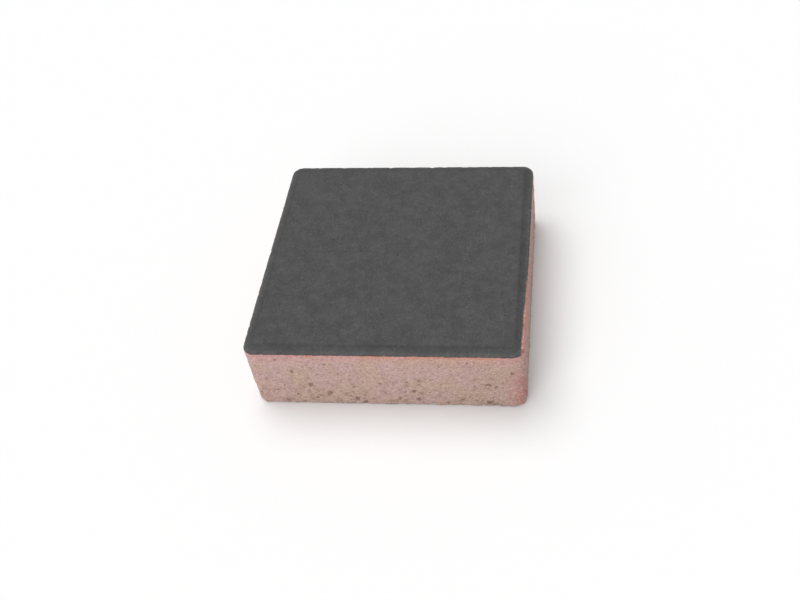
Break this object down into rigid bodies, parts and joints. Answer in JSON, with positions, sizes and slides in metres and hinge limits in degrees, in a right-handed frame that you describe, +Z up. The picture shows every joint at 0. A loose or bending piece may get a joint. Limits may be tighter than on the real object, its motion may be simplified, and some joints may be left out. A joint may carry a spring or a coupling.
{
  "type": "concrete paver",
  "caption": "Square concrete block paver with a grey bevelled wearing face, rounded corners and a pinkish-buff body, laid on a sand bed to pave paths and drives.",
  "frame": {"origin": "middle of the bed face, on the ground", "axes": "+Z up, from the bed face to the wearing face; X and Y square to the side faces, with the front face of the picture looking along -Y"},
  "size_m": [0.2, 0.2, 0.06],
  "materials": {
    "concrete": "matt vibro-pressed concrete: fine dark-grey wearing face and bevel, bare pinkish-buff sides with open grain and small air holes"
  },
  "bodies": {
    "root": {"paver": "concrete"}
  },
  "joints": []
}
